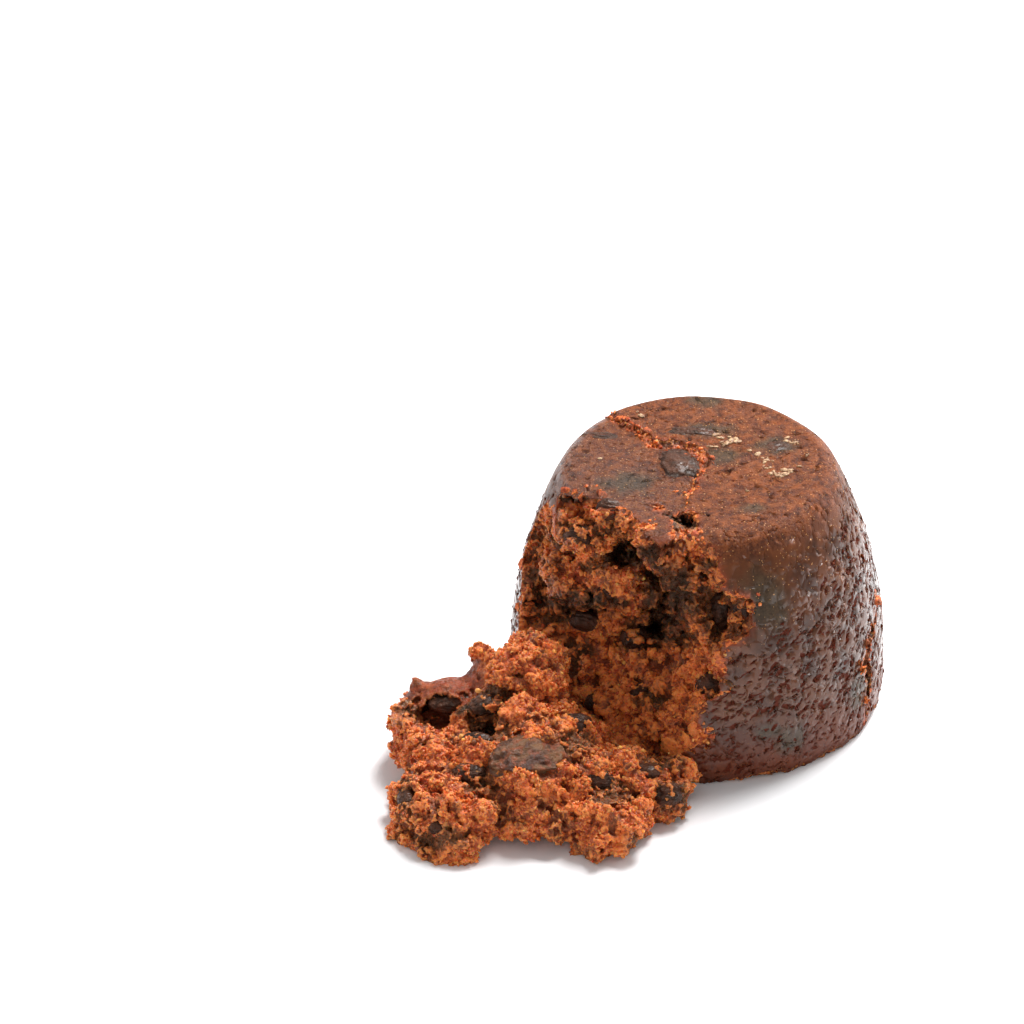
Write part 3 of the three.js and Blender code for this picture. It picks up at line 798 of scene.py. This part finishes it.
def from_curl(points):
    """How far from the middle of the curl: 1 at its half size."""
    return np.linalg.norm((points - CURL[0]) / CURL[1], axis=1)


def on_curl(mesh):
    """1 on the strip of skin: near the curl and facing up, back or left."""
    near = 1 - smoothstep(0.85, 1.1, from_curl(points_of(mesh)))
    return near * smoothstep(-0.1, 0.25, normals_of(mesh) @ OUTER_FACE)


curl = smoothstep(0.2, 0.7, blurred(chunk, on_curl(chunk), 10))
places = points_of(chunk)
tame = 1 - smoothstep(0.85, 1.15, from_curl(places))
places += (calm - places) * np.maximum(curl, tame)[:, None]
ridge_top = np.exp(-((places[:, 0] - CURL_RIDGE) / 4.2) ** 2) * smoothstep(8, 12, places[:, 2])
places[:, 2] += CURL_LIFT * tame * ridge_top
for patch, half, depth in CHUNK_HOLLOWS:
    share = within(places, [(patch, half)]) * (normals_of(chunk) @ -INWARD > -0.3) * (places[:, 1] > -30)
    places += depth * (share * (1 - curl))[:, None] * INWARD
move_to(chunk, places)
moist_and_shade = within(places, MOIST_AND_SHADED_CHUNK)
note(chunk, "skin", curl > SKIN_FROM)
open_crumb = (curl <= SKIN_FROM) * off_fruit(places, CHUNK_FRUIT + [FIG], 1.1) * (1 - 0.6 * moist_and_shade)
note(chunk, "open_crumb", open_crumb)
chunk = apply(chunk, "NODES", node_group=clump)
chunk = apply(chunk, "NODES", node_group=crumble)
chunk = apply(chunk, "REMESH", mode="VOXEL", voxel_size=CRUMB_VOXEL * MM)
note(chunk, "torn", 1 - 0.5 * smoothstep(0.2, 0.6, blurred(chunk, on_curl(chunk), 3)))
chunk = above_table(apply(chunk, "NODES", node_group=roughen))
chunk = smooth_shaded(thinned(chunk, MOST_TRIANGLES))
note(chunk, "curl", smoothstep(0.2, 0.7, blurred(chunk, on_curl(chunk), 6)))
places = points_of(chunk)
off_curl = 1 - noted(chunk, "curl")
note(chunk, "moist_and_shade", within(places, MOIST_AND_SHADED_CHUNK) * off_curl)
holes = [hole[:2] for hole in CHUNK_HOLLOWS if hole[2] > 0]
# Painted shade in the chunk's deep holes.
note(chunk, "hollow", within(places, holes) * off_curl * (places[:, 1] > -32))
note_peaks(chunk)
print("chunk crumb:", len(chunk.polygons), "triangles")

# %% [markdown]
# ## Loose grains
#
# Melting rounds the smallest grains away. A last layer of separate grains, no
# larger than sugar, is strewn over both crumbs and left crisp. Each is a small
# ball of twenty faces with its own tone.

# %% Loose grains
LOOSE_GRAINS = (1.5, (0.10, 0.44), 61)  # per mm2, radii, seed
BALL_FACES = 20


@geometry_recipe
def loosen(tree, geometry):
    """Strew loose grains, most on what stands out, few on pulp and on the dark wet and shaded patches."""
    where = millimetres(tree)
    standing = between(tree, attribute(tree, "peak"), -1.0, 0.6, 0.25, 1.0)
    crowd = times(tree, standing, between(tree, pulp_islands(tree, where), 0.0, 1.0, 1.0, 0.06))
    crowd = times(tree, crowd, between(tree, attribute(tree, "moist_and_shade"), 0.0, 1.0, 1.0, 0.10))
    grains = strew(tree, geometry, crowd, *LOOSE_GRAINS)
    return set_position(tree, grains, shove(tree, where, 2.2, 0.6 * MM))


def loose_grains(mesh, clear):
    """The separate grains that lie on a crumb mesh where clear is 1."""
    note(mesh, "open_crumb", clear)
    return smooth_shaded(above_table(apply(mesh, "NODES", keep=True, node_group=loosen)))


places = points_of(crumb)
clear = (noted(crumb, "torn") > 0.6) & (places[:, 2] > 0.3) & (noted(crumb, "hollow") < 0.4)
pudding_grains = loose_grains(crumb, clear * off_fruit(places, TEAR_FRUIT, 1.0))
places = points_of(chunk)
clear = (noted(chunk, "curl") < 0.8) & (noted(chunk, "hollow") < 0.4)
clear &= normals_of(chunk)[:, 2] > -0.6
chunk_grains = loose_grains(chunk, clear * off_fruit(places, CHUNK_FRUIT + [FIG], 1.0))
print("loose grains:", len(pudding_grains.polygons) // BALL_FACES, "and", len(chunk_grains.polygons) // BALL_FACES)

# %% [markdown]
# ## Dried fruit
#
# Raisins and currants are dark, shiny and deeply wrinkled. Each starts as a
# round ball whose skin is folded by ridged noise, and is then squashed, turned
# and half sunk in the crumb. The fig is larger and paler, with amber seeds.

# %% Fruit


def ridge(place):
    return 1 - 2 * abs(field.noise(place))


def wrinkled(into, place, half, turn=0.0, number=0, folds=0.13, detail=5):
    """Add one wrinkled fruit to a bmesh: place and half sizes in mm."""
    made = bmesh.ops.create_icosphere(into, subdivisions=detail, radius=1.0)["verts"]
    shift = Vector((number * 7.3, number * 3.1, -number * 5.7))
    seat = Matrix.Translation(Vector(place) * MM) @ Matrix.Rotation(math.radians(turn), 4, "Z")
    for vertex in made:
        way = vertex.co.copy()
        long = Vector((way.x * 0.8, way.y * 1.7, way.z * 1.7))
        fold = folds * (ridge(long * 1.6 + shift) - 0.3) + 0.4 * folds * ridge(long * 4.2 + shift)
        swell = 1 + fold + 0.12 * field.noise(way * 1.1 + shift)
        vertex.co = seat @ (Vector(h * c for h, c in zip(half, way)) * (swell * MM))


def mesh_of(bench, name):
    mesh = bpy.data.meshes.new(name)
    bench.to_mesh(mesh)
    bench.free()
    return smooth_shaded(mesh)


fruit_bench = bmesh.new()
for number, (place, half, turn) in enumerate(TOP_FRUIT + TEAR_FRUIT + CHUNK_FRUIT):
    wrinkled(fruit_bench, place, half, turn, number)
raisin_mesh = mesh_of(fruit_bench, "raisins")
print("raisins:", len(raisin_mesh.polygons), "triangles")

# %% The fig and its seeds
fig_bench = bmesh.new()
wrinkled(fig_bench, *FIG, number=40, folds=0.16, detail=6)
fig_mesh = mesh_of(fig_bench, "fig")

SEED_SIZE = (0.5, 0.42, 0.42)
SEEDS = [  # amber seeds of the fig, on it and beside it
    (-30.6, -36.4, 12.2), (-31.2, -40.2, 12.1), (-30.6, -41.0, 12.2), (-38.6, -33.6, 11.2), (-36.0, -26.2, 15.1),
    (-42.4, -43.2, 8.0), (-44.2, -41.6, 7.0), (-25.9, -45.9, 10.2), (-29.8, -45.4, 11.0),
]
seed_bench = bmesh.new()
for number, place in enumerate(SEEDS):
    wrinkled(seed_bench, place, SEED_SIZE, 40 * number, number, folds=0.02, detail=3)
seed_mesh = mesh_of(seed_bench, "seeds")
print("fig and", len(SEEDS), "seeds")

# %% [markdown]
# ## Flecks of peel
#
# Pale crumbs of peel and suet lie flush in the top. Each is a small flat ball
# with a knobbly skin, pressed into the crust.

# %% Flecks of peel
FLECKS = [  # x, y, half length, turn
    (3.1, 8.3, 0.7, 20), (4.8, 7.6, 1.0, 35), (6.2, 6.4, 0.9, -30), (5.6, 7.2, 0.6, 0), (3.7, 5.7, 0.5, 10),
    (2.2, 4.8, 0.8, 40), (14.4, 7.0, 0.9, 15), (15.3, 5.7, 0.6, 0), (15.9, 6.3, 0.5, 50), (8.8, 2.8, 0.8, 5),
    (9.8, 2.2, 0.6, -20), (10.9, 1.3, 0.7, -10), (11.7, 0.4, 0.4, 0), (10.5, -0.3, 0.6, 25), (11.0, -1.3, 0.5, 0),
    (13.3, -3.5, 0.9, 25), (14.5, -2.2, 0.7, 30), (15.7, -1.3, 0.5, 20), (12.2, -3.8, 0.4, 0), (11.4, -3.2, 0.6, 60),
    (-16.1, 2.2, 0.5, 0), (-9.2, 14.6, 0.7, 10), (7.5, -8.6, 0.4, 40), (17.6, 2.2, 0.4, 70),
]
BITS_PER_FLECK, FLECK_THICK = 3, 0.16
chance = np.random.default_rng(7)
fleck_bench = bmesh.new()
for number, (x, y, long, turn) in enumerate(FLECKS):
    for bit in range(BITS_PER_FLECK):
        aside, ahead, size = chance.normal(0, 0.7 * long, 2).tolist() + [chance.uniform(0.25, 0.75)]
        spot = np.array([x + aside]), np.array([y + ahead])
        half = (long * size, long * size * chance.uniform(0.45, 0.8), FLECK_THICK)
        place = (x + aside, y + ahead, float(top_height(*spot)[0]) + 0.02)
        wrinkled(fleck_bench, place, half, turn + chance.uniform(-50, 50), 9 * number + bit, folds=0.45, detail=3)
fleck_mesh = mesh_of(fleck_bench, "peel_flecks")
print("flecks:", len(fleck_mesh.polygons), "triangles")

# %% [markdown]
# ## Finishes
#
# Moist crumb is a little see-through: light goes in at the lit side of a grain
# and comes out orange, which subsurface scattering does. Its colour comes from
# one node group that every crumb uses. Shade is painted into the creases as
# dark brown, and light onto the peaks as amber.

# %% Crumb finish


def shader_group(name, outputs, recipe):
    """A node group with named outputs, made by recipe( tree, place in mm )."""
    tree = bpy.data.node_groups.new(name, "ShaderNodeTree")
    for label, kind in outputs.items():
        tree.interface.new_socket(label, in_out="OUTPUT", socket_type=kind)
    where = scaled(tree, put(tree, "ShaderNodeTexCoord").outputs["Object"], 1 / MM)
    put(tree, "NodeGroupOutput", recipe(tree, where))
    return tree


def blend(tree, share, low, high):
    """Mix two colours by a share."""
    return put(tree, "ShaderNodeMix", {"Factor": share, 6: low, 7: high}, data_type="RGBA").outputs[2]


def crumb_colours(tree, where):
    """Orange-brown crumb with mauve patches and islands of dark fruit pulp."""
    broad = noise(tree, where, 0.28, 3.0)
    fine = noise(tree, where, 3.4, 3.0)
    tone = calc(tree, "ADD", times(tree, fine, 0.4), times(tree, broad, 0.6))
    base = blend(tree, between(tree, tone, 0.42, 0.60), (0.40, 0.070, 0.024, 1), (0.95, 0.245, 0.064, 1))
    mauve = between(tree, noise(tree, where, 0.55, 2.0), 0.55, 0.62, 0.0, 0.55)
    base = blend(tree, mauve, base, (0.34, 0.075, 0.042, 1))
    pulp = blend(tree, between(tree, fine, 0.4, 0.6), (0.11, 0.038, 0.018, 1), (0.26, 0.075, 0.034, 1))
    base = blend(tree, times(tree, pulp_islands(tree, where), 0.85), base, pulp)
    height = calc(tree, "ADD", fine, times(tree, noise(tree, where, 8.0, 2.0), 0.5))
    return {"Color": base, "Height": height}


crumb_group = shader_group("crumb_grain", {"Color": "NodeSocketColor", "Height": "NodeSocketFloat"}, crumb_colours)


def material(name, recipe, **fixed):
    """A Principled material; recipe( tree, place in mm ) links what changes."""
    made = bpy.data.materials.new(name)
    made.use_nodes = True
    tree = made.node_tree
    shader = tree.nodes["Principled BSDF"]
    for label, value in fixed.items():
        shader.inputs[label.replace("_", " ")].default_value = value
    where = scaled(tree, put(tree, "ShaderNodeTexCoord").outputs["Object"], 1 / MM)
    for socket, value in recipe(tree, where).items():
        tree.links.new(value, shader.inputs[socket])
    return made


def bump(tree, height, distance):
    """Fine relief, in mm, on top of what the mesh has."""
    return put(tree, "ShaderNodeBump", {"Height": height, "Distance": distance * MM, "Strength": 1.0}).outputs[0]


def read(tree, name):
    return put(tree, "ShaderNodeAttribute", attribute_name=name).outputs["Fac"]


def skin_colours(tree, where):
    """Brown steamed skin of the side, redder near the table."""
    broad = noise(tree, where, 0.22, 3.0)
    plain = blend(tree, between(tree, broad, 0.35, 0.65), (0.058, 0.018, 0.007, 1), (0.130, 0.040, 0.014, 1))
    return blend(tree, between(tree, height_of(tree, where), 2.0, 14.0, 0.7, 0.0), plain, (0.135, 0.026, 0.008, 1))


def where_noted(tree, name, standing, *ramp):
    """The share of an effect: where it is noted, and by how far the crumb stands out."""
    return times(tree, read(tree, name), between(tree, standing, *ramp))


def crumb_finish(tree, where):
    """From the creases up: painted shade in the creases, then crumb, painted amber highlight on the peaks, and the
    noted effects.
    """
    grain = put(tree, "ShaderNodeGroup", node_tree=crumb_group).outputs
    peak, swell = read(tree, "peak"), read(tree, "swell")
    standing = calc(tree, "ADD", times(tree, peak, 0.5), times(tree, swell, 0.7))
    # Painted shade: crumb that stands low, in the creases, is painted dark brown.
    lit = blend(tree, between(tree, standing, -1.6, 0.0, 0.06, 1.0), (0.20, 0.036, 0.011, 1), grain["Color"])
    # Painted highlight: the highest peaks are painted light amber.
    lit = blend(tree, between(tree, peak, 0.4, 1.7, 0.0, 0.6), lit, (0.90, 0.31, 0.075, 1))
    # Painted light: the low crumb noted as glow is painted bright orange.
    lit = blend(tree, where_noted(tree, "glow", standing, -0.5, 1.2, 0.0, 0.65), lit, (1.0, 0.27, 0.062, 1))
    # Painted shade and wet crumb: the noted dark patches are painted near black to olive-brown.
    wet = blend(tree, between(tree, grain["Height"], 0.6, 0.9), (0.045, 0.020, 0.008, 1), (0.20, 0.075, 0.025, 1))
    lit = blend(tree, where_noted(tree, "moist_and_shade", standing, 0.0, 1.2, 0.9, 0.2), lit, wet)
    # Painted shade: near black in the noted holes, cracks and at the foot.
    lit = blend(tree, where_noted(tree, "hollow", standing, 0.6, 1.8, 0.93, 0.5), lit, (0.032, 0.015, 0.007, 1))
    mottle = between(tree, noise(tree, where, 0.9, 5.0, 0.6), 0.40, 0.62)
    skin = blend(tree, mottle, (0.075, 0.013, 0.006, 1), (0.24, 0.042, 0.015, 1))
    lit = blend(tree, times(tree, read(tree, "curl"), 0.8), lit, skin)
    rough = between(tree, grain["Height"], 0.5, 1.0, 0.42, 0.22)
    return {"Base Color": lit, "Roughness": rough, "Normal": bump(tree, grain["Height"], 0.18)}


SOAK = {"Subsurface_Weight": 0.5, "Subsurface_Radius": (1.0, 0.26, 0.08), "Subsurface_Scale": 1.1 * MM,
        "Specular_Tint": (1.0, 0.85, 0.7, 1)}
crumb_material = material("moist_crumb", crumb_finish, Specular_IOR_Level=0.35, **SOAK)


def grain_finish(tree, where):
    tone = read(tree, "tone")
    hue = blend(tree, between(tree, tone, 0.0, 0.8), (0.42, 0.075, 0.024, 1), (0.88, 0.22, 0.056, 1))
    hue = blend(tree, between(tree, tone, 0.93, 1.0), hue, (0.96, 0.42, 0.11, 1))
    grain = put(tree, "ShaderNodeGroup", node_tree=crumb_group)
    return {"Base Color": hue, "Normal": bump(tree, grain.outputs["Height"], 0.10)}


grain_material = material("crumb_grains", grain_finish, Roughness=0.18, Specular_IOR_Level=0.45, **SOAK)

# %% [markdown]
# The crust is a brown skin under a clear wet coat. The coat is full on the
# side and nearly gone on the flat top, which is dull and grainy with golden
# specks. The pits are dark red, and the skin turns to crumb at a torn edge.

# %% Crust finish


def crust_finish(tree, where):
    height = height_of(tree, where)
    grain = put(tree, "ShaderNodeGroup", node_tree=crumb_group)
    on_top = between(tree, height, 36.0, 41.5)
    fine = noise(tree, where, 3.2, 4.0, 0.65)
    medium = noise(tree, where, 0.7, 4.0, 0.6)
    mottle = calc(tree, "ADD", times(tree, medium, 0.55), times(tree, fine, 0.45))
    top = blend(tree, between(tree, mottle, 0.38, 0.62), (0.060, 0.013, 0.004, 1), (0.23, 0.060, 0.014, 1))
    hue = blend(tree, on_top, skin_colours(tree, where), top)
    stained = blend(tree, between(tree, mottle, 0.35, 0.65), (0.030, 0.020, 0.011, 1), (0.080, 0.052, 0.027, 1))
    hue = blend(tree, times(tree, read(tree, "stain"), 0.85), hue, stained)
    near = times(tree, between(tree, read(tree, "near_tear"), 0.01, 0.35, 0.0, 0.65),
                 between(tree, medium, 0.35, 0.6, 0.3, 1.0))
    hue = blend(tree, near, hue, (0.27, 0.055, 0.022, 1))
    islands = pit_depth(tree, where, read(tree, "bare"))
    pits = between(tree, islands, 0.602, 0.610)
    hue = blend(tree, times(tree, pits, 0.97), hue, (0.100, 0.015, 0.004, 1))
    bent = vector(tree, "ADD", where, shove(tree, where, 2.0, 0.5))
    cells = put(tree, "ShaderNodeTexVoronoi", {"Vector": bent, "Scale": 2.1}).outputs
    lot = put(tree, "ShaderNodeSeparateColor", {0: cells["Color"]}).outputs[0]
    specks = times(tree, between(tree, cells["Distance"], 0.12, 0.24, 1.0, 0.0), between(tree, lot, 0.56, 0.62))
    specks = times(tree, specks, between(tree, height, 14.0, 41.0, 0.10, 0.8))
    hue = blend(tree, specks, hue, (0.70, 0.34, 0.12, 1))
    edge = between(tree, read(tree, "rim"), 0.01, 0.40)
    hue = blend(tree, edge, hue, grain.outputs["Color"])
    glaze = read(tree, "glaze")
    uneven = calc(tree, "MULTIPLY_ADD", glaze, 0.9, between(tree, on_top, 0.0, 1.0, 0.02, 1.1))
    relief = times(tree, calc(tree, "ADD", fine, times(tree, medium, 0.8)), uneven)
    relief = calc(tree, "SUBTRACT", relief, between(tree, islands, 0.604, 0.622))
    dull = calc(tree, "MAXIMUM", pits, edge)
    wet = calc(tree, "MULTIPLY_ADD", glaze, 0.5, between(tree, height, 27.0, 38.0, 1.0, 0.16))
    wet = times(tree, wet, between(tree, height, 0.0, 14.0, 0.45, 1.0))
    gloss = times(tree, wet, between(tree, dull, 0, 1, 1.0, 0.05))
    return {"Base Color": hue, "Coat Weight": gloss, "Roughness": between(tree, on_top, 0, 1, 0.5, 0.6),
            "Normal": bump(tree, relief, 0.24), "Coat Normal": bump(tree, relief, 0.20)}


crust_material = material("steamed_crust", crust_finish, Specular_IOR_Level=0.12, Coat_Roughness=0.10, Coat_IOR=1.38,
                          Subsurface_Weight=0.1, Subsurface_Radius=(1.0, 0.3, 0.1), Subsurface_Scale=0.5 * MM)

# %% Fruit and peel finishes


def raisin_finish(tree, where):
    tone = noise(tree, where, 0.5, 4.0, 0.6)
    hue = blend(tree, between(tree, tone, 0.35, 0.65), (0.020, 0.008, 0.005, 1), (0.085, 0.030, 0.016, 1))
    relief = calc(tree, "ADD", noise(tree, where, 1.5, 4.0, 0.6), times(tree, noise(tree, where, 4.0), 0.3))
    return {"Base Color": hue, "Normal": bump(tree, relief, 0.45),
            "Roughness": between(tree, noise(tree, where, 2.0), 0.4, 0.6, 0.28, 0.5)}


def fig_finish(tree, where):
    tone = noise(tree, where, 0.35, 5.0, 0.6)
    hue = blend(tree, between(tree, tone, 0.38, 0.62), (0.085, 0.030, 0.015, 1), (0.21, 0.095, 0.038, 1))
    hue = blend(tree, between(tree, noise(tree, where, 0.8, 3.0), 0.50, 0.62, 0.0, 0.55), hue, (0.34, 0.085, 0.030, 1))
    return {"Base Color": hue, "Normal": bump(tree, noise(tree, where, 1.8, 4.0, 0.6), 0.55)}


def seed_finish(tree, where):
    return {"Base Color": blend(tree, noise(tree, where, 2.0), (0.70, 0.26, 0.05, 1), (0.85, 0.42, 0.10, 1))}


def peel_finish(tree, where):
    tone = noise(tree, where, 2.6, 3.0)
    hue = blend(tree, between(tree, tone, 0.4, 0.65), (0.26, 0.12, 0.05, 1), (0.58, 0.38, 0.20, 1))
    return {"Base Color": hue, "Normal": bump(tree, tone, 0.2)}


raisin_material = material("raisin_skin", raisin_finish, Specular_IOR_Level=0.22, Specular_Tint=(1.0, 0.78, 0.62, 1),
                           Coat_Weight=0.15, Coat_Roughness=0.08, Coat_Tint=(1.0, 0.9, 0.8, 1))
fig_material = material("fig_flesh", fig_finish, Roughness=0.35, Specular_IOR_Level=0.4, Subsurface_Weight=0.3,
                        Subsurface_Radius=(1.0, 0.5, 0.2), Subsurface_Scale=0.8 * MM)
seed_material = material("fig_seed", seed_finish, Roughness=0.2)
peel_material = material("pale_peel", peel_finish, Roughness=0.45)

# %% Show the pieces


def piece(name, mesh, finish, slot, *nodes):
    made = show(name, mesh, finish)
    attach(made, "root")
    if nodes:
        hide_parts(*nodes)


piece("pudding_crumb", crumb, crumb_material, "pudding_crumb", "pudding")
piece("pudding_crust", crust, crust_material, "pudding_crust", "pudding")
piece("chunk_crumb", chunk, crumb_material, "pudding_crumb", "broken_piece")
piece("pudding_grains", pudding_grains, grain_material, "pudding_crumb")
piece("chunk_grains", chunk_grains, grain_material, "pudding_crumb")
piece("raisins", raisin_mesh, raisin_material, "pudding_crumb")
piece("fig", fig_mesh, fig_material, "pudding_crumb")
piece("fig_seeds", seed_mesh, seed_material, "pudding_crumb")
piece("peel_flecks", fleck_mesh, peel_material, "pudding_crust")
